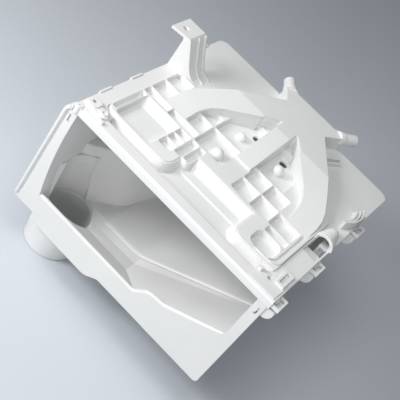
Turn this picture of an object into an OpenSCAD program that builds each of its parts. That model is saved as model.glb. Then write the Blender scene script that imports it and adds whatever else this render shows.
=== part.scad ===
// Housing of a washing machine detergent drawer: an open-fronted tub with a round
// outlet below, a flat lid clipped on top and a water distributor set into the lid.
// Millimetres. Origin: centre of the outlet spout's lower end. +X to the right seen
// from the mouth, +Y to the back, +Z up.
// The shapes are drawn from the lid's front left corner, lid top at zero height,
// and are then moved so that the spout's end is the origin.

/* [Lid] */
// Width of the lid along the mouth
lid_w = 210; // [206:1:216]
// Depth of the lid from front to back
lid_d = 219; // [216:1:226]
// Thickness of the lid plate
lid_t = 2.5; // [2:0.1:3]
// Height of the bar across the mouth
bar_h = 7.5; // [6.5:0.1:9]
// Depth of the bar across the mouth
bar_d = 11.5; // [10.5:0.1:12]
// Height of the rim that hangs round the lid's edge
skirt_h = 6; // [5:0.1:7]

/* [Tub] */
// Height of the lid's top above the spout's end
drop = 152; // [148:1:170]
// Wall thickness of the tub
wall = 2.4; // [2:0.1:3]
// Depth of the drawer space below the lid
bay_h = 57; // [54:1:60]
// Depth of the funnel floor beside the outlet below the lid
sump_h = 114; // [112:0.5:116]
// Height of the front plate below the lid
front_h = 114; // [112:0.5:118]
// Thickness of the front plate
front_t = 3; // [2.5:0.1:4]

/* [Outlet] */
// Outer radius of the spout
spout_r = 24; // [22:0.5:25]
// Wall thickness of the spout
spout_wall = 2.5; // [2:0.1:3.5]
// Length of the spout that takes the hose
hose_len = 30; // [26:0.5:30]
// Spout centre from the lid's left edge
spout_x = 31; // [28:0.5:34]
// Spout centre from the mouth
spout_y = 31; // [27:0.5:34]

/* [Water inlets] */
// Outer radius of an inlet pipe
inlet_r = 5.5; // [4.8:0.1:6]
// Bore radius of an inlet pipe
inlet_bore = 3.6; // [3:0.1:4]
// Height of the inlet axes above the lid
inlet_z = 9; // [8:0.5:10]
// Angle of each inlet axis off straight back
inlet_turn = 34; // [28:1:38]
// Free length of the left inlet pipe behind its arm
inlet_free = 12; // [10:1:16]
// Free length of the right inlet pipe behind its arm
inlet_free_right = 16; // [12:1:18]

/* [Fixing lug] */
// Height of the lug's tab above the lid
lug_h = 32; // [26:1:38]
// Thickness of the lug
lug_t = 2.6; // [2:0.1:3]
// Radius of the lug's screw hole
lug_hole_r = 2.2; // [1.8:0.1:2.8]

/* [Distributor] */
// Depth of the cells below the distributor's rim
cell_d = 4.8; // [4:0.1:5.5]
// Height of the distributor's rim above the lid
rim_up = 1; // [0.6:0.1:1.5]
// Clearance between distributor and lid well
well_gap = 0.15; // [0.1:0.05:0.25]
// Height of the junction box above the lid
box_h = 13; // [11:0.5:14]

/* [Hidden] */
$fn = 48;
fine = 0.01;

bay_x0 = 7;
bay_x1 = lid_w - 10;
bay_y1 = lid_d - 10;
well_h = 9;
skin = 1.8;
seat_z = -lid_t;
loop_y = [1, 65, 144];
loop_len = 15;
loop_out = 7;
loop_h = 3;
loop_z = -skirt_h + 0.5;
catch_gap = 0.2;
mid_x = 110.7;
low_z = -7;
draft = 1.3;
arc_x = 2.5;
arc_z = -12;
lip_r = 2.2;
lip = 0.6;
wall_x = 6.3;
wall_z = -20;
wall_arc = 355;
ledge_z = -66.5;
tray_x1 = lid_w - 17;
floor_x = lid_w - 13;
floor_z = -bay_h - 2;

tub();
lid();
water_cover();

// Moves a shape from the lid's corner to the part's own origin.
module place() {
  translate([-spout_x, -spout_y, drop]) children();
}

// Rounded rectangle from a to b with corner radius r, grown by g.
module rrect(a, b, r, g = 0) {
  x0 = a[0] - g;
  y0 = a[1] - g;
  x1 = b[0] + g;
  y1 = b[1] + g;
  q = max(r + g, 0.3);
  translate([x0 + q, y0]) square([x1 - x0 - 2 * q, y1 - y0]);
  translate([x0, y0 + q]) square([x1 - x0, y1 - y0 - 2 * q]);
  for (x = [x0 + q, x1 - q], y = [y0 + q, y1 - q]) translate([x, y]) circle(r = q);
}

// Upright block from a to b.
module block(a, b) {
  translate(a) cube([b[0] - a[0], b[1] - a[1], b[2] - a[2]]);
}

// Extrudes a drawing made in X and Z along Y, from y0 to y1.
module along_y(y0, y1) {
  translate([0, y1, 0]) rotate([90, 0, 0]) linear_extrude(y1 - y0) children();
}

// Everything below the plane through p that climbs sx to the right and sy to the
// back, lowered square to itself by g.
module below(p, sx, sy, g = 0) {
  ry = -atan(sx);
  rx = atan(sy * cos(ry));
  translate(p) rotate([0, ry, 0]) rotate([rx, 0, 0])
    translate([-400, -400, -400 - g]) cube([800, 800, 400]);
}

// Floor planes of the funnel: a point, the climb to the right and to the back.
// Beside the outlet the floor is level, further right it climbs. Seen from the back
// it falls gently, drops over a small step and runs level to the mouth.
CLIMB = [[floor_x, 53.5, floor_z], 0.525, 0.125];
CLIMB_STEP = [[floor_x, 53.5, floor_z], 0.525, 0.35];
CLIMB_NEAR = [[floor_x, 50, floor_z - 1.2], 0.555, -0.05];
LEVEL = [[57, 53.5, 4 - sump_h], 0.02, 0.125];
LEVEL_STEP = [[57, 53.5, 4 - sump_h], 0.02, 0.35];
LEVEL_NEAR = [[57, 43, 0.4 - sump_h], 0.02, -0.05];
LOW = [[60, front_t, -97], 0, -0.55];
// Ledge at the left behind the outlet, and its steep right side.
LEDGE = [[20, 49.5, ledge_z], 0, 0.05];
STEEP = [[29.6, 52.5, 4 - sump_h], -5.06, 1.6];

function unit(v) = v / norm(v);
function up_of(pl) = unit([-pl[1], -pl[2], 1]);
function height_at(pl, x, y) = pl[0][2] + pl[1] * (x - pl[0][0]) + pl[2] * (y - pl[0][1]);

// Fills the crease between two floor planes with radius r, as a long bar to be
// taken out of the space. x0 and x1 bound it along the tub.
module crease(pa, pb, r, x0, x1) {
  na = up_of(pa);
  nb = up_of(pb);
  d0 = unit(cross(na, nb));
  d = d0[0] < 0 ? -d0 : d0;
  w = unit(na + nb);
  phi = acos(w * na);
  // a point of the crease at x = x0
  sy = pa[2] - pb[2];
  y0 = (height_at(pb, x0, 0) - height_at(pa, x0, 0)) / sy;
  o = [x0, y0, height_at(pa, x0, y0)];
  az = atan2(d[1], d[0]);
  el = asin(d[2]);
  ey = [-sin(az), cos(az), 0];
  ez = cross(d, ey);
  roll = atan2(-(w * ey), w * ez);
  m = 0.6;
  translate(o) rotate([0, -el, az]) rotate([roll, 0, 0])
    along_x(0, (x1 - x0) / d[0]) difference() {
      polygon([[0, -m], [r * sin(phi) + m, r / cos(phi) - r * cos(phi) - m * 0.4],
        [r * sin(phi), r / cos(phi) - r * cos(phi)], [0, r / cos(phi)],
        [-r * sin(phi), r / cos(phi) - r * cos(phi)],
        [-r * sin(phi) - m, r / cos(phi) - r * cos(phi) - m * 0.4]]);
      translate([0, r / cos(phi)]) circle(r = r, $fn = 64);
    }
}

// Ground under the funnel, lowered by g.
module ground(g) {
  for (pair = [[CLIMB, CLIMB_STEP], [LEVEL, LEVEL_STEP], [LEDGE, STEEP]]) intersection() {
    below(pair[0][0], pair[0][1], pair[0][2], g);
    below(pair[1][0], pair[1][1], pair[1][2], g);
  }
  for (pl = [CLIMB_NEAR, LEVEL_NEAR, LOW]) below(pl[0], pl[1], pl[2], g);
}

// Everything left of the tub's left wall, drawn in X and Z: the wall is upright at
// the top and curves inwards to its foot.
module left_side(g = 0) {
  translate([-40, wall_z - fine]) square([40 + wall_x - g, 40]);
  difference() {
    translate([-40, -140]) square([80, 140 + wall_z]);
    translate([wall_x + wall_arc, wall_z]) circle(r = wall_arc + g, $fn = 360);
  }
}

// Space inside the tub, or its outside when grown by g.
module tub_space(g = 0) {
  difference() {
    union() {
      block([-g, -fine, -bay_h - g], [bay_x1 + g, bay_y1 + g, seat_z + fine]);
      difference() {
        block([-g, -fine, -sump_h - 6 - g], [bay_x1 + g, bay_y1 + g, -bay_h + 1]);
        ground(g);
        if (g == 0) {
          crease(CLIMB_STEP, CLIMB_NEAR, 12, 100, 204);
          crease(LEVEL_STEP, LEVEL_NEAR, 12, 46, 112);
        }
      }
    }
    along_y(-1, lid_d) left_side(g);
  }
}

// Points of a soft step from a to b.
function soft(a, b, n = 10) = [for (i = [0:n])
  let (t = i / n, s = t * t * (3 - 2 * t)) [a[0] + (b[0] - a[0]) * t, a[1] + (b[1] - a[1]) * s]];

// Outline of the front plate, drawn in X and Z. Its upper left corner is an arc
// beside the lid's bar.
module front_outline(g = 0) {
  difference() {
    union() {
      rrect([-6.5, -front_h], [lid_w - 1.5, -bar_h - 4], 4, g);
      translate([arc_x, arc_z]) circle(r = arc_x + 6.5 + g);
      translate([-6.5 - g, arc_z - 12]) square([14 + g, 12]);
      translate([arc_x, -20]) square([lid_w - 1.5 + g - arc_x, 20 - bar_h + g]);
      polygon(concat([[17 - g, -front_h + 8], [17 - g, -front_h - 7.5 - g]],
        soft([80, -front_h - 7.5 - g], [98, -front_h + 0.5 - g]), [[98, -front_h + 8]]));
    }
    translate([-0.15, -bar_h + g]) square([40, 20]);
  }
}

// Lower edge of the mouth from left to right, in X and Z.
MOUTH = [[12, -96], [120.5, -96], [124.5, -94.4], [132.5, -85.6], [137, -83.8], [149, -82.6],
  [bay_x1 - 3.4, -59.4]];
// Roll along the plate's left edge and into its upper corner, in X and Z.
ROLL = [[-4.6, 4 - front_h], [-4.6, arc_z], [-4.17, arc_z + 2.43], [-2.94, arc_z + 4.56], [-1.4, arc_z + 6]];

// Mouth cut through the front plate, drawn in X and Z.
module mouth_outline() {
  difference() {
    polygon(concat([[1, 5], [1, -96]], MOUTH, [[bay_x1 - 0.6, -54], [bay_x1 - 0.4, 5]]));
    left_side();
  }
}

// Round bar through the points of a path drawn in X and Z.
module round_bar(path, r, y) {
  for (i = [0:len(path) - 2]) {
    a = path[i];
    b = path[i + 1];
    translate([a[0], y, a[1]]) rotate([0, 90 - atan2(b[1] - a[1], b[0] - a[0]), 0]) {
      cylinder(r = r, h = norm(b - a));
      if (i > 0) sphere(r = r + 0.06);
    }
  }
}

module front_plate() {
  difference() {
    union() {
      along_y(0, front_t) front_outline();
      // turned-back edge all round the plate
      along_y(0, 8) difference() {
        front_outline();
        front_outline(-2);
      }
      // the left edge is rolled forward, also round the corner
      round_bar(ROLL, 1.9, 0.4);
    }
    along_y(-5, 20) mouth_outline();
    // soft groove beside the left edge
    translate([-1.9, -0.9, -104]) cylinder(r = 1.5, h = 104 + arc_z);
    // catch slots at the mouth's upper corners
    along_y(-5, 20) square_at(0.6, -17.5, 1.2, 6);
    along_y(-5, 20) square_at(0.6, -18.7, 3, 1.2);
    along_y(-5, 20) square_at(lid_w - 5.4, -19, 1.2, 6);
    along_y(-5, 20) square_at(lid_w - 6.6, -20.2, 2.4, 1.2);
  }
  // round lip along the lower edge of the mouth
  round_bar(concat(MOUTH, [[bay_x1 + 1.5, -57.2]]), lip_r, lip_r + 0.1);
}

module square_at(x, z, w, h) {
  translate([x, z]) square([w, h]);
}

// Round-cornered catch that stands under one loop of the lid.
module catch_body(y) {
  top = -skirt_h - catch_gap;
  out = lid_w + loop_out - 1;
  along_y(y, y + loop_len) {
    square_at(bay_x1 + wall - 1, -17, 6.5, 17 + top);
    square_at(bay_x1 + wall, -11, out - bay_x1 - wall, 11 + top);
    intersection() {
      translate([out - 7, -11]) circle(r = 7);
      square_at(out - 14, -19, 14, 19 + top);
    }
  }
}

module tub() {
  color([0.95, 0.95, 0.93]) place() difference() {
    union() {
      difference() {
        union() {
          tub_space(wall);
          translate([spout_x, spout_y, -drop]) cylinder(r = spout_r, h = hose_len + 1, $fn = 96);
          // thicker root of the spout, which stops the hose
          translate([spout_x, spout_y, -drop + hose_len])
            cylinder(r = spout_r + 0.8, h = drop - hose_len + ledge_z + 2, $fn = 96);
          // rim on which the lid lies
          translate([0, 0, seat_z - 2.5]) linear_extrude(2.5)
            rrect([2.2, bar_d + 0.6], [lid_w - 2.6, lid_d - 2.6], 3.2);
        }
        tub_space();
        // bore of the outlet, open to the funnel and cut into the left wall
        translate([spout_x, spout_y, -drop - 1])
          cylinder(r = spout_r - spout_wall, h = drop + ledge_z + 1.6, $fn = 96);
        translate([spout_x, spout_y, -sump_h])
          cylinder(r1 = spout_r - spout_wall - 0.4, r2 = spout_r - 0.4, h = 3.6, $fn = 96);
        // the mouth side is cut back to the front plate
        block([-20, -20, -200], [lid_w + 20, 0, 20]);
      }
      front_plate();
      for (y = loop_y) catch_body(y);
      // stiffening ribs under the bay on both outer sides
      for (y = [40, 110, 180]) {
        block([bay_x1 + wall - 0.5, y, -50], [bay_x1 + wall + 3, y + 2, seat_z - 1]);
        block([2.2, y, -50], [wall_x - wall + 0.5, y + 2, seat_z - 1]);
      }
    }
    block([-20, -20, seat_z], [lid_w + 20, lid_d + 20, 20]);
    // the front bar of the lid lies in a step of the side walls
    block([-0.15, -5, -bar_h], [lid_w + 20, bar_d + 0.6, 20]);
    // room for the chute and way down under the hood
    block([tray_x1 + 1, 70.7, -5.8], [lid_w - 2.2, 85, 0]);
    block([bay_x1 - 3, 84.5, -12], [lid_w - 2.2, 97, 0]);
  }
}

// Plan of the distributor, grown by g.
module tray_plan(g = 0) {
  rrect([12.5, 20.5], [tray_x1, 128], 9, g);
  rrect([25, bar_d + 1], [tray_x1 - 11, 60], 3, g);
  back_plan(g);
}

// Part of the tray behind its block, between the arched channels.
module back_plan(g) {
  polygon([[60 - g, 110], [161.4 + g, 110], [161.4 + g, 127 + 0.4 * g], [134 + g, 157 + g],
    [87.4 - g, 157 + g], [60 - g, 127 + 0.4 * g]]);
}

// Plan of the part of the tray that stands at full height: two lobes that reach
// towards the mouth and the cells behind them.
module high_plan(g = 0) {
  rrect([12.5, 60], [tray_x1, 128], 6, g);
  rrect([12.5, 22.5], [80, 100], 12, g);
  rrect([70, 43], [88, 100], 5, g);
  rrect([148.5, 24.5], [tray_x1, 100], 10, g);
  back_plan(g);
}

// Block whose sides spread out by f from its top z1 down to z0. A negative f makes a
// tapered pocket.
module mound(a, b, r, z0, z1, f) {
  along_x(a[0] + r, b[0] - r)
    polygon([[a[1] - f, z0], [b[1] + f, z0], [b[1], z1], [a[1], z1]]);
  along_y(a[1] + r, b[1] - r)
    polygon([[a[0] - f, z0], [b[0] + f, z0], [b[0], z1], [a[0], z1]]);
  for (x = [a[0] + r, b[0] - r], y = [a[1] + r, b[1] - r])
    translate([x, y, z0]) cylinder(r1 = r + f, r2 = r, h = z1 - z0);
}

// Plan of the lid. Its back corners are rounder than its front corners.
module plain_plan(g = 0) {
  intersection() {
    rrect([0, 0], [lid_w, lid_d], 4, g);
    rrect([0, -20], [lid_w, lid_d], 8.5, g);
  }
}

// Lug profile in X and Z: tab, bend, leaning stem and flared foot.
module lug_edge(t) {
  u = lug_h - 32;
  polygon([[-14, 32 + u], [4.6, 32 + u], [6.4, 30.6 + u], [10.4, 22.9 + u * 0.6],
    [14.2, 15.6 + u * 0.3], [17.6, 9.4], [21.6, 4.2], [26, 1.4], [31, 0], [31, -1],
    [25 - t, -1], [24 - t * 1.2, 0.6], [20.4 - t, 3.2], [15.6 - t * 0.8, 8.4],
    [11.6 - t * 0.7, 15.6 + u * 0.3], [8.2 - t * 0.8, 22.4 + u * 0.6], [4.9 - t * 0.8, 29.6 + u],
    [4 - t * 0.8, 32 - t + u], [-14, 32 - t + u]]);
}

module lug_web() {
  u = lug_h - 32;
  polygon([[0, -1], [28, -1], [26, 1.4], [21.6, 4.2], [17.6, 9.4], [14.2, 15.6 + u * 0.3],
    [10.4, 22.9 + u * 0.6], [5.6, 31 + u], [-1.5, 31 + u], [0, 27 + u]]);
}

module lug() {
  difference() {
    along_y(118, 150.5) lug_edge(lug_t);
    // the front side is a little skewed
    translate([0, 125.2, -5]) rotate([0, 0, 9]) translate([-60, -60, 0]) cube([140, 60, 60]);
    // screw hole with a shallow countersink
    translate([-6.2, 134.8, lug_h - 8]) cylinder(r = lug_hole_r, h = 12);
    translate([-6.2, 134.8, lug_h - 0.8]) cylinder(r1 = lug_hole_r, r2 = lug_hole_r + 1.1, h = 1.1);
  }
  // web that closes the front of the lug
  intersection() {
    along_y(110, 150) lug_web();
    translate([0, 125.2, -5]) rotate([0, 0, 9]) translate([-60, 0, 0]) cube([140, 2.2, 60]);
  }
  // rib down the middle and lip along the back of the stem
  for (y = [138.6, 149]) intersection() {
    along_y(y, y + 1.5) translate([1.2, 0.8]) lug_edge(lug_t);
    block([4, 100, 0.1], [40, 160, lug_h - 1]);
  }
}

// Loop that clips over a catch of the tub, on the right side.
module clip_loop(y) {
  translate([0, 0, loop_z]) linear_extrude(loop_h) difference() {
    translate([lid_w - 1, y]) square([loop_out + 1, loop_len]);
    translate([lid_w + 0.2, y + 1.8]) square([loop_out - 2, loop_len - 3.6]);
  }
  // hook inside the loop, standing on the lid's rim
  block([lid_w - 1, y + 4, loop_z], [lid_w + 1.6, y + loop_len - 4, loop_z + loop_h]);
}

// Hollow scoop in rings that shrink to the back, with its mouth towards the front.
module hood() {
  translate([lid_w - 8.6, 0, 0]) difference() {
    union() {
      for (i = [0:4]) hood_ring(94 + i * 4.6, 99 + i * 4.6, 8.4 - i * 1.0);
      for (i = [0:4]) hood_ring(94 + i * 4.6, 96 + i * 4.6, 10 - i * 1.0);
      translate([0, 117.2, 0]) intersection() {
        sphere(r = 4.2, $fn = 48);
        block([-10, -2, 0], [10, 10, 10]);
      }
    }
    for (i = [0:2]) hood_ring(90 + i * 4.6, 96 + i * 4.6, 7.2 - i * 1.0);
  }
}

module hood_ring(y0, y1, r) {
  intersection() {
    translate([0, y1, 0]) rotate([90, 0, 0]) cylinder(r = r, h = y1 - y0);
    block([-20, y0 - 1, 0], [20, y1 + 1, 20]);
  }
}

module front_pad() {
  // blocks at the left front corner, the first with a screw hole
  translate([0, 0, -1]) linear_extrude(3.8) difference() {
    rrect([2.6, 8.6], [12.4, 19.8], 3.6);
    translate([6.5, 14.6]) circle(r = 1.9);
  }
  translate([0, 0, -1]) linear_extrude(2.8) rrect([9.4, 6.6], [23.6, 17.4], 4);
  translate([19.4, 11.6, -1]) difference() {
    union() {
      cylinder(r = 4.6, h = 3.4);
      cylinder(r = 3.1, h = 4.8);
    }
    translate([0, 0, 3.9]) cylinder(r = 1.9, h = 2);
  }
  block([22.4, 2.6, -1], [25.6, 5.6, 2.2]);
  // block at the right front corner
  translate([0, 0, -1]) linear_extrude(1.6) difference() {
    polygon([[182.8, 3], [208, 3], [208.6, 24], [195.4, 24], [195.4, 19.8], [182.8, 19.8]]);
    translate([194.5, 16.6]) circle(r = 1.9);
  }
  translate([185.2, 16, -1]) cylinder(r = 1.7, h = 4.2);
  // small latch frame
  translate([0, 0, -1]) linear_extrude(3.4) difference() {
    translate([199, 17.5]) square([8, 19]);
    translate([201, 20]) square([3.8, 14]);
  }
}

module lid() {
  color([0.96, 0.96, 0.95]) place() {
    difference() {
      union() {
        difference() {
          union() {
            // plate and hanging edge
            translate([0, 0, -skirt_h]) linear_extrude(skirt_h) plain_plan();
            // bar across the mouth, round along its upper front edge
            translate([0, 0, -bar_h]) linear_extrude(bar_h) difference() {
              square([lid_w, bar_d]);
              difference() {
                translate([-1, -1]) square([5, 5]);
                translate([4, 4]) circle(r = 4);
              }
            }
            // boss at the left corner
            translate([3.1, 1.7, -bar_h]) cylinder(r = 3, h = bar_h + 0.5);
          }
          // hollow under the plate, left and right of the well
          difference() {
            translate([0, 0, -skirt_h - 1]) linear_extrude(skirt_h + 1 - lid_t)
              rrect([2, bar_d + 0.1], [lid_w - 2, lid_d - 2], 3.4);
            translate([0, 0, -20]) linear_extrude(30) tray_plan(skin + well_gap);
          }
          // underside of the front bar
          block([9, 2.4, -bar_h - 1], [lid_w - 9, bar_d - 2.2, -2.6]);
        }
        // well that takes the distributor
        translate([0, 0, -well_h - skin]) linear_extrude(well_h + skin) tray_plan(skin + well_gap);
        // floor of the shallow chute before the hood
        block([tray_x1 + 1.6, 71, -5.4], [lid_w - 1.5, 86, -1]);
        hood();
        lug();
      }
      translate([0, 0, -well_h]) linear_extrude(well_h + 5) tray_plan(well_gap);
      // round front edge of the bar
      translate([7, 0, 0]) rotate([0, 90, 0]) linear_extrude(lid_w) difference() {
        translate([-3, -3]) square([5.4, 5.4]);
        translate([2.4, 2.4]) circle(r = 2.4);
      }
      translate([2.9, 1.6, -2]) cylinder(r = 0.6, h = 5);
      // shallow chute that falls under the hood
      along_x(tray_x1 + 1.6, lid_w - 1.6)
        polygon([[72, 0.2], [72, 0], [85.6, -4.2], [85.6, 0.2]]);
      // opening under the hood
      block([tray_x1 + 1.6, 85.5, -20], [lid_w - 1.6, 96, 5]);
      block([lid_w - 15, 95, -20], [lid_w - 3, 108, 0.01]);
      // slots through which the water falls into the drawer
      for (i = [0:6], j = [0:2]) block([24 + i * 24, 74 + j * 17, -20], [27 + i * 24, 84 + j * 17, -5]);
      // corner holes
      translate([6.5, 14.6, -20]) cylinder(r = 1.9, h = 30);
      translate([194.5, 16.6, -20]) cylinder(r = 1.9, h = 30);
      // small slot beside the inlets
      block([71.5, 196, -10], [74.5, 203, 5]);
    }
    difference() {
      front_pad();
      translate([-5, 0, 0]) block([0, -4, -2], [300, 0.5, 5]);
    }
    for (y = loop_y) clip_loop(y);
    // lips on the left edge, which grip under the tub's rim
    for (y = [30, 72, 176]) {
      block([-1.2, y, -skirt_h], [0.6, y + 15, 0.9]);
    }
    // curved fins in three layers behind the hood
    for (i = [0:2]) intersection() {
      translate([176, 150, -1]) difference() {
        cylinder(r = 33 - i * 2.4, h = 9 - i * 2, $fn = 96);
        translate([0, 0, -1]) cylinder(r = 31.6 - i * 2.4, h = 12, $fn = 96);
      }
      block([198 - i * 2, 130 + i * 3, -1], [lid_w, 165 - i * 2, 8]);
    }
    translate([0, 0, -1]) linear_extrude(2.6) intersection() {
      translate([176, 150]) difference() {
        circle(r = 32, $fn = 96);
        circle(r = 26, $fn = 96);
      }
      translate([196, 141]) square([20, 21]);
    }
    // pair of ribs beside the right inlet
    for (d = [0, 5]) translate([146.5 + d * 0.8, 188 - d, -0.5]) rotate([0, 0, -29])
      cube([1.6, 19, 3.6]);
  }
}

// Ramp that rises from the cells to the junction box.
module ramp_solid() {
  difference() {
    translate([0, 80, -2]) cube([lid_w, 140, box_h + 2]);
    difference() {
      translate([-5, 70, -20]) cube([lid_w + 10, 160, 60]);
      below([100, 84, rim_up], 0, (box_h - rim_up) / 69);
    }
  }
}

// Plan of the two arched channels, the middle channel and the junction box.
module channel_plan(g = 0) {
  both_sides() wing_plan(g);
  translate([mid_x - 8.2 - g, 95 - g]) square([16.4 + 2 * g, 80]);
  box_plan(g);
}

// Draws a plan and its mirror image about the distributor's middle line.
module both_sides() {
  children();
  translate([2 * mid_x, 0]) mirror([1, 0]) children();
}

module wing_plan(g = 0) {
  polygon([[30.6 - g, 83 - g], [53.3 + g, 83 - g], [53.4 + g, 99], [55 + g, 107], [57.6 + g, 114],
    [64.6 + g, 124.5], [73.4 + g, 133.4 - g], [89 + g, 150 - g], [92, 170], [69, 170],
    [56.6 - g, 153], [46 - g, 136.5], [36 - g, 119.5 - g], [32.6 - g, 110], [31.2 - g, 101]]);
}

module box_plan(g = 0) {
  both_sides() polygon([[56.6 - g, 153 - g], [89, 153 - g], [100, 165 - g], [mid_x + 1, 165 - g],
    [mid_x + 1, lid_d + g * 0], [87.6, lid_d + g * 0], [82.6 + g, 224.6 + g], [74.2 - g, 218.4 + g * 0.2],
    [87.4 - g, 197.2]]);
}

// One rounded hub with the hole behind it.
module hub(x, y, r, h) {
  translate([x, y, -cell_d + rim_up]) {
    cylinder(r = r, h = h);
    translate([0, 0, h]) sphere(r = r, $fn = 48);
  }
}

// Left and right inlet pipe, whose far end lies free behind the arm's end.
module inlet(side, r, free, extra = 0, inner = 0.5) {
  translate([mid_x + side * 32.4, 221.2, inlet_z]) rotate([0, 0, -side * inlet_turn])
    rotate([90, 0, 0]) translate([0, 0, -free - extra]) cylinder(r = r, h = free + inner + extra);
}

// Collar between an arm and its pipe, against which the hose stops.
module collar(side) {
  translate([mid_x + side * 32.4, 221.2, inlet_z]) rotate([0, 0, -side * inlet_turn])
    rotate([90, 0, 0]) translate([0, 0, -0.8]) cylinder(r = inlet_r + 0.9, h = 5);
}

// One cell with drafted walls, open at the top.
module cell(from, to, r = 2) {
  e = draft / cell_d;
  g = 0.4 + e;
  mound(from - [g, g], to + [g, g], r + e, rim_up - cell_d, rim_up + 1, -draft - e);
}

module cells() {
  // left of the left channel
  cell([14, 106], [31, 126.4]);
  cell([14, 85], [39.4, 103.8]);
  cell([41, 85], [52.2, 103.8]);
  // narrow channel
  cell([14, 73.2], [39.4, 82.2]);
  cell([40.8, 73.2], [70, 82.2]);
  // big recess of the left lobe, whose floor climbs at the back
  difference() {
    cell([20, 27], [57, 70.6], 3);
    along_x(15, 60) polygon([[60, -20], [60, rim_up - cell_d], [70.6, rim_up - 0.8], [75, 10], [75, -20]]);
  }
  cell([14, 30], [18.8, 70.6]);
  // small cells beside it, the first two behind a low step
  cell([58.4, 62], [70, 70.6]);
  cell([58.4, 51], [70, 60.6]);
  cell([58.4, 38.5], [70, 49.6]);
  // lane right of the lobe's rib
  cell([71.8, 44], [79.2, 70.6]);
  cell([80.6, 46], [86.6, 70.6]);
  // between left channel and middle channel
  cell([53, 106], [69.8, 122]);
  cell([53.6, 85], [69.8, 103.8]);
  cell([72, 106.5], [101.8, 154.8]);
  cell([72, 73.2], [101.8, 104.8]);
  // right of the middle channel
  cell([119, 106.5], [149.4, 154.8]);
  for (x = [120, 140.6], y = [64, 85.2]) cell([x, y], [x + 19.2, y + 19.4]);
  cell([161.4, 64], [184.8, 83.2]);
  cell([176.6, 85.2], [184.8, 104.4]);
  cell([164, 54.4], [184.8, 62.6]);
  cell([161.5, 31], [184.8, 52.8], 8);
}

module water_cover() {
  color([0.97, 0.97, 0.96]) place() {
    difference() {
      union() {
        difference() {
          union() {
            translate([0, 0, -well_h]) linear_extrude(well_h + rim_up) tray_plan();
            // double line round the right side of the tray
            translate([0, 0, 0]) linear_extrude(rim_up + 0.8) difference() {
              rrect([150, 29], [tray_x1 - 0.6, 108], 9);
              rrect([140, 31], [tray_x1 - 2.2, 130], 8);
              translate([140, 20]) square([30, 100]);
            }
          }
          cells();
          // groove inside the double line
          translate([0, 0, rim_up - 1.2]) linear_extrude(5) difference() {
            rrect([150, 30.4], [tray_x1 - 3.6, 104.5], 8);
            rrect([140, 32.4], [tray_x1 - 5.8, 130], 7);
            translate([140, 20]) square([30, 100]);
          }
          // the ground between the lobes steps down to the front
          below_front();
        }
        // floor under cells that reach past the tray's block
        intersection() {
          ramp_solid();
          linear_extrude(38) channel_plan();
        }
        translate([0, 0, -well_h]) linear_extrude(well_h) intersection() {
          channel_plan();
          tray_plan();
        }
        // junction box and its pipes
        translate([0, 0, 0]) linear_extrude(box_h) box_plan();
        inlet(-1, inlet_r, inlet_free);
        inlet(1, inlet_r, inlet_free_right);
        for (s = [-1, 1]) collar(s);
        hub(91.6, 84, 6.2, 1.6);
        hub(90, 126.5, 4.8, 1.2);
        hub(132, 128, 5.4, 2.2);
      }
      // holes behind the two upper hubs
      translate([98.3, 143.2, -20]) cylinder(r = 3.9, h = 40);
      translate([129.4, 144.2, -20]) cylinder(r = 3.9, h = 40);
      // bores of the pipes, running into the hollow box
      inlet(-1, inlet_bore, inlet_free, 5, 8);
      inlet(1, inlet_bore, inlet_free_right, 5, 8);
      // hollow underneath
      translate([0, 0, -well_h - 1]) linear_extrude(well_h + 1 + rim_up - cell_d - skin)
        difference() {
          high_plan(-skin);
          for (x = [71, 102.5, 118, 162.6]) translate([x - 0.8, 20]) square([1.6, 150]);
        }
      intersection() {
        translate([0, 0, -skin]) ramp_solid();
        translate([0, 0, -8]) linear_extrude(40) channel_plan(-skin);
        block([25, 86, -8], [190, lid_d - skin, box_h - skin]);
      }
      translate([0, 0, -5]) linear_extrude(box_h + 5 - skin) box_plan(-skin);
    }
  }
}

// Takes the ground in front of and between the lobes down to low_z. The lobes fall
// to it in slopes, with a small step at the top, and a soft bank lies behind it.
module below_front() {
  difference() {
    translate([0, 0, low_z]) linear_extrude(30) translate([5, 5]) square([200, 56]);
    mound([12.5, 22.5], [80, 100], 11, low_z - 1, rim_up - lip, 4.4);
    mound([70, 43], [88, 100], 5, low_z - 1, rim_up - lip, 3);
    mound([148.5, 24.5], [tray_x1 + 6, 100], 10, low_z - 1, rim_up - lip, 4.4);
    translate([0, 0, -20]) linear_extrude(60) {
      rrect([12.5, 23.9], [78.6, 100], 9.6);
      rrect([70, 44.4], [86.6, 100], 4);
      rrect([149.9, 25.9], [tray_x1 + 6, 100], 8.6);
      translate([5, 60]) square([200, 10]);
    }
    along_x(84, 152) polygon(concat([[70, -20], [70, rim_up]],
      soft([61, rim_up], [47, low_z + 1.4], 12), [[39.5, low_z + 1.2], [38.6, low_z], [30, -20]]));
  }
}

// Extrudes a drawing made in Y and Z along X, from x0 to x1.
module along_x(x0, x1) {
  translate([x0, 0, 0]) rotate([90, 0, 90]) linear_extrude(x1 - x0) children();
}
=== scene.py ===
import bpy
from mathutils import Matrix, Vector


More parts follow.
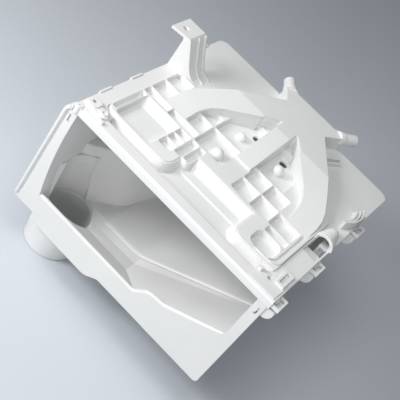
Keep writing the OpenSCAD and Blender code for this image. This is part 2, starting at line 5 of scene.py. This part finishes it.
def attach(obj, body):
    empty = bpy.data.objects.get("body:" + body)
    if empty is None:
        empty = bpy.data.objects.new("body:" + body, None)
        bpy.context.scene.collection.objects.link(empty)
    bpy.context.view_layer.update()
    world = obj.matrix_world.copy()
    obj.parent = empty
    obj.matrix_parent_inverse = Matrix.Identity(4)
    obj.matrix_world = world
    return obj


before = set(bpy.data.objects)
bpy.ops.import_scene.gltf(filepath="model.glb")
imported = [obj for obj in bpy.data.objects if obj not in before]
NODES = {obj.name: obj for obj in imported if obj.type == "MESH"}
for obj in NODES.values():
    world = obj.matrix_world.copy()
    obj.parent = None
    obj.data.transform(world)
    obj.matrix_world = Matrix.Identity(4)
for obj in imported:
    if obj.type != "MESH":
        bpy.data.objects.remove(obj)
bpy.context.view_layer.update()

# Camera, solved from the edges of the lid and the mouth in the photograph.
CAMERA_PLACE = (0.200217, -0.581463, 0.601785)
CAMERA_RIGHT = (0.695739, 0.524204, 0.491078)
CAMERA_DOWN = (0.701127, -0.347028, -0.622891)
CAMERA_FORWARD = (-0.156104, 0.777677, -0.608974)
CAMERA_LENS = 88.373
CAMERA_NEAR, CAMERA_FAR = 0.02, 50.0
SENSOR = 36.0

# Light: a soft lamp at the front left, which leaves the left end of the tub's inside
# dark, a weaker one at the front right and one above the lid. Place, size and power.
AIM = (0.07, 0.06, 0.10)
LAMPS = {
    "key_lamp": ((-0.50, -0.50, 0.55), 0.30, 5.6),
    "front_lamp": ((0.45, -0.65, 0.28), 0.3, 1.4),
    "top_lamp": ((0.0, -0.15, 0.78), 0.40, 2.1),
}
SKY_COLOUR, SKY_LEVEL = (0.93, 0.96, 1.0), 0.18
STUDIO_SIZE, STUDIO_DROP = 16, 0.0005
STUDIO_COLOUR, STUDIO_ROUGHNESS = (0.66, 0.70, 0.75), 0.9

# Plastic of each node and of the pieces that are part of it: name, light tone, dark
# tone and roughness.
PLASTICS = {
    # The tub's two tones are greyer than the lid's: painted shade for the dark inside of the tub,
    # laid over the whole tub.
    "tub": ("tub_plastic_greyed_as_painted_shade", (0.80, 0.80, 0.785), (0.76, 0.765, 0.755), 0.34),
    "lid": ("lid_plastic", (0.84, 0.84, 0.83), (0.80, 0.805, 0.80), 0.36),
    "water_cover": ("cover_plastic", (0.86, 0.86, 0.855), (0.82, 0.825, 0.82), 0.34),
}
PLASTIC_IOR = 1.49
TONE_SCALE, TONE_DETAIL, TONE_FROM, TONE_TO = 14.0, 3.0, 0.35, 0.65
SHEEN_SCALE, SHEEN_DETAIL, SHEEN_LESS, SHEEN_MORE = 60.0, 2.0, 0.05, 0.07
EDGE_RADIUS, EDGE_SAMPLES = 0.0007, 6
# Slow waves of shrinkage and the fine skin: scale, detail, strength and height.
SHRINK = (45.0, 1.0, 0.35, 0.0004)
SKIN = (1800.0, 1.0, 0.12, 0.00002)
SMOOTH_ANGLE = 0.6

# Places below are measured from the lid's front left corner, in millimetres.
CORNER = (-31.0, -31.0, 152.0)
SPOUT_BORE_RADIUS, BORE_HEIGHT, BORE_FACES = 21.5, 160.0, 96
# Side of the funnel behind the outlet: its section from the ledge under the drawer
# down to its foot, as X from the foot and Z, and the line of its foot in X and Y.
SIDE_SECTION = [(-78, -57.5), (-17.2, -57.5), (-15.4, -58.2), (-14.0, -60.4), (-11.6, -66.0),
                (-9.2, -75.0), (-6.4, -85.0), (-3.2, -97.0), (0.0, -110.0), (0.9, -114.0)]
SIDE_FOOT = [(17.5, 34.0), (17.9, 38.0), (19.3, 40.8), (23.5, 43.9), (27.6, 47.2), (30.0, 50.2),
             (32.2, 53.6), (37.0, 58.0), (43.5, 64.0), (51.5, 72.0), (57.0, 80.0), (61.0, 90.0),
             (64.5, 100.0), (68.5, 111.0), (78.0, 135.0), (92.0, 165.0), (111.0, 209.8)]
SIDE_THICK = 1.2
# Planes that bound it, each a point and the direction in which the piece stays: the
# tub's left wall, the level part of the floor and the part that climbs to the right.
SIDE_LIMITS = [((7.6, 0, -57.0), (53.0, 0, 9.6)),
               ((57.0, 53.5, -111.2), (-0.02, -0.125, 1)),
               ((197.0, 53.5, -60.2), (-0.525, -0.125, 1))]
# Raised floor right of the outlet: its section across the tub in X and Z, with a
# rounded left edge, and its run from the rounded step to the back in Y and Z.
FLOOR_SECTION = [(57.0, -111.2), (57.8, -109.8), (59.2, -108.9), (61.5, -108.5),
                 (66.0, -108.35), (94.0, -107.7), (98.5, -107.2), (102.5, -106.0), (107.0, -103.9),
                 (200.8, -54.7)]
FLOOR_RUN = [(49.8, -3.0), (50.1, -1.9), (50.8, -1.0), (51.9, -0.45), (53.6, -0.1), (56.0, 0.3),
             (209.8, 19.5)]
FLOOR_THICK = 1.0
# It ends at the tub's own steep wall.
FLOOR_LIMITS = [((29.2, 52.5, -110.0), (5.06, -1.6, 1))]


def deselect_all():
    for thing in bpy.context.selected_objects:
        thing.select_set(False)
    bpy.context.view_layer.objects.active = None


def set_up_camera():
    data = bpy.data.cameras.new("camera")
    data.sensor_width = SENSOR
    data.lens = CAMERA_LENS
    data.clip_start, data.clip_end = CAMERA_NEAR, CAMERA_FAR
    camera = bpy.data.objects.new("camera", data)
    bpy.context.collection.objects.link(camera)
    right, down, forward = CAMERA_RIGHT, CAMERA_DOWN, CAMERA_FORWARD
    camera.matrix_world = Matrix([
        (right[i], -down[i], -forward[i], CAMERA_PLACE[i]) for i in range(3)
    ] + [(0, 0, 0, 1)])
    bpy.context.scene.camera = camera


def add_lamp(name, place, size, power):
    data = bpy.data.lights.new(name, "AREA")
    data.size, data.energy = size, power
    lamp = bpy.data.objects.new(name, data)
    bpy.context.collection.objects.link(lamp)
    lamp.location = place
    lamp.visible_camera = False
    lamp.rotation_euler = (Vector(AIM) - Vector(place)).to_track_quat("-Z", "Y").to_euler()


def set_up_sky():
    world = bpy.data.worlds.new("studio")
    bpy.context.scene.world = world
    world.use_nodes = True
    sky = world.node_tree.nodes["Background"]
    sky.inputs["Color"].default_value = (*SKY_COLOUR, 1)
    sky.inputs["Strength"].default_value = SKY_LEVEL


def set_up_floor():
    """Plain studio floor just below the spout."""
    deselect_all()
    bpy.ops.mesh.primitive_plane_add(size=STUDIO_SIZE, location=(0, 0, -STUDIO_DROP))
    floor = bpy.context.object
    floor.name = "studio_floor"
    bpy.ops.object.transform_apply(location=True)
    paint = bpy.data.materials.new("studio_floor")
    paint.use_nodes = True
    shader = paint.node_tree.nodes["Principled BSDF"]
    shader.inputs["Base Color"].default_value = (*STUDIO_COLOUR, 1)
    shader.inputs["Roughness"].default_value = STUDIO_ROUGHNESS
    floor.data.materials.append(paint)
    deselect_all()


def place(x, y, z):
    """Millimetres from the lid's corner as metres in the part's frame."""
    return tuple((a + b) / 1000 for a, b in zip((x, y, z), CORNER))


def keep_side_of(point, direction):
    """Cuts the open mesh in edit mode and keeps the side to which direction points."""
    bpy.ops.mesh.select_all(action="SELECT")
    bpy.ops.mesh.bisect(plane_co=place(*point), plane_no=Vector(direction).normalized(),
                        clear_inner=True)


def extrude_by(step):
    bpy.ops.mesh.extrude_region_move(
        TRANSFORM_OT_translate={"value": tuple(a / 1000 for a in step)})


def sweep_skin(name, start, section, run, limits, thick):
    """Skin whose section, given by its corners, is carried along a run of points and
    gets its thickness below."""
    deselect_all()
    bpy.ops.mesh.primitive_plane_add(size=0.002, location=(0, 0, 0))
    skin = bpy.context.object
    skin.name = name
    bpy.ops.object.mode_set(mode="EDIT")
    bpy.ops.mesh.select_all(action="SELECT")
    bpy.ops.mesh.merge(type="CENTER")
    bpy.ops.transform.translate(value=place(*start))
    for a, b in zip(section, section[1:]):
        extrude_by([q - p for p, q in zip(a, b)])
    bpy.ops.mesh.select_all(action="SELECT")
    for a, b in zip(run, run[1:]):
        extrude_by([q - p for p, q in zip(a, b)])
    for point, direction in limits:
        keep_side_of(point, direction)
    bpy.ops.object.mode_set(mode="OBJECT")
    if sum(face.normal.z * face.area for face in skin.data.polygons) < 0:
        bpy.ops.object.mode_set(mode="EDIT")
        bpy.ops.mesh.select_all(action="SELECT")
        bpy.ops.mesh.flip_normals()
        bpy.ops.object.mode_set(mode="OBJECT")
    wall = skin.modifiers.new("wall", "SOLIDIFY")
    wall.thickness, wall.offset = thick / 1000, -1
    bpy.ops.object.modifier_apply(modifier="wall")
    return skin


def finish_lining(piece):
    bpy.ops.object.shade_smooth_by_angle(angle=SMOOTH_ANGLE)
    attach(piece, "root")
    deselect_all()
    return piece


def model_funnel_floor():
    """Raised floor that climbs to the right, with a soft step towards the mouth."""
    section = [(x, 0, z) for x, z in FLOOR_SECTION]
    run = [(0, y, z) for y, z in FLOOR_RUN]
    start = (FLOOR_SECTION[0][0], FLOOR_RUN[0][0], FLOOR_SECTION[0][1] + FLOOR_RUN[0][1])
    floor = sweep_skin("funnel_floor", start, section, run, FLOOR_LIMITS, FLOOR_THICK)
    return finish_lining(floor)


def model_funnel_side():
    """Steep wall behind the outlet, swept along its foot, with the outlet's round bore
    cut into it."""
    section = [(x, 0, z) for x, z in SIDE_SECTION]
    run = [(x, y, 0) for x, y in SIDE_FOOT]
    start = (SIDE_FOOT[0][0] + SIDE_SECTION[0][0], SIDE_FOOT[0][1], SIDE_SECTION[0][1])
    side = sweep_skin("funnel_side", start, section, run, SIDE_LIMITS, SIDE_THICK)

    deselect_all()
    bpy.ops.mesh.primitive_cylinder_add(vertices=BORE_FACES, radius=SPOUT_BORE_RADIUS / 1000,
                                        depth=BORE_HEIGHT / 1000,
                                        location=(0, 0, BORE_HEIGHT / 2000))
    bore = bpy.context.object
    deselect_all()
    side.select_set(True)
    bpy.context.view_layer.objects.active = side
    cut = side.modifiers.new("bore", "BOOLEAN")
    cut.operation, cut.object, cut.solver = "DIFFERENCE", bore, "EXACT"
    bpy.ops.object.modifier_apply(modifier="bore")
    bpy.data.objects.remove(bore)
    return finish_lining(side)


class Nodes:
    """Short way to add and link the nodes of one material."""

    def __init__(self, material):
        self.tree = material.node_tree
        self.coords = self.add("ShaderNodeTexCoord")

    def add(self, kind, **values):
        node = self.tree.nodes.new(kind)
        for name, value in values.items():
            if name in node.inputs:
                node.inputs[name].default_value = value
            else:
                setattr(node, name, value)
        return node

    def link(self, source, output, target, socket):
        self.tree.links.new(source.outputs[output], target.inputs[socket])

    def noise(self, scale, detail):
        node = self.add("ShaderNodeTexNoise", Scale=scale, Detail=detail)
        self.link(self.coords, "Object", node, "Vector")
        return node

    def bump(self, under, scale, detail, strength, height):
        """Noise of the given height on top of the normals of the node under it."""
        node = self.add("ShaderNodeBump", Strength=strength, Distance=height)
        self.link(self.noise(scale, detail), "Fac", node, "Height")
        self.link(under, "Normal", node, "Normal")
        return node


def moulded_plastic(name, light, shade, roughness):
    """White moulded plastic: soft edges, a fine skin, slow waves of shrinkage and
    faint differences in tone."""
    material = bpy.data.materials.new(name)
    material.use_nodes = True
    n = Nodes(material)
    shader = material.node_tree.nodes["Principled BSDF"]
    shader.inputs["IOR"].default_value = PLASTIC_IOR

    spread = n.add("ShaderNodeMapRange")
    spread.inputs["From Min"].default_value = TONE_FROM
    spread.inputs["From Max"].default_value = TONE_TO
    n.link(n.noise(TONE_SCALE, TONE_DETAIL), "Fac", spread, "Value")
    blend = n.add("ShaderNodeMix", data_type="RGBA")
    blend.inputs[6].default_value = (*shade, 1)
    blend.inputs[7].default_value = (*light, 1)
    n.link(spread, "Result", blend, "Factor")
    n.link(blend, 2, shader, "Base Color")

    sheen = n.add("ShaderNodeMapRange")
    sheen.inputs["To Min"].default_value = roughness - SHEEN_LESS
    sheen.inputs["To Max"].default_value = roughness + SHEEN_MORE
    n.link(n.noise(SHEEN_SCALE, SHEEN_DETAIL), "Fac", sheen, "Value")
    n.link(sheen, "Result", shader, "Roughness")

    edges = n.add("ShaderNodeBevel", samples=EDGE_SAMPLES, Radius=EDGE_RADIUS)
    skin = n.bump(n.bump(edges, *SHRINK), *SKIN)
    n.link(skin, "Normal", shader, "Normal")
    return material


def paint(piece, material):
    piece.data.materials.clear()
    piece.data.materials.append(material)


set_up_camera()
for lamp_name, (lamp_place, lamp_size, lamp_power) in LAMPS.items():
    add_lamp(lamp_name, lamp_place, lamp_size, lamp_power)
set_up_sky()
set_up_floor()

linings = [model_funnel_side(), model_funnel_floor()]

finishes = {node: moulded_plastic(*plastic) for node, plastic in PLASTICS.items()}
for node, material in finishes.items():
    paint(NODES[node], material)
# The linings inside the tub take the tub's greyer plastic, with its painted shade.
for piece in linings:
    paint(piece, finishes["tub"])

bpy.context.scene.view_settings.view_transform = "Standard"
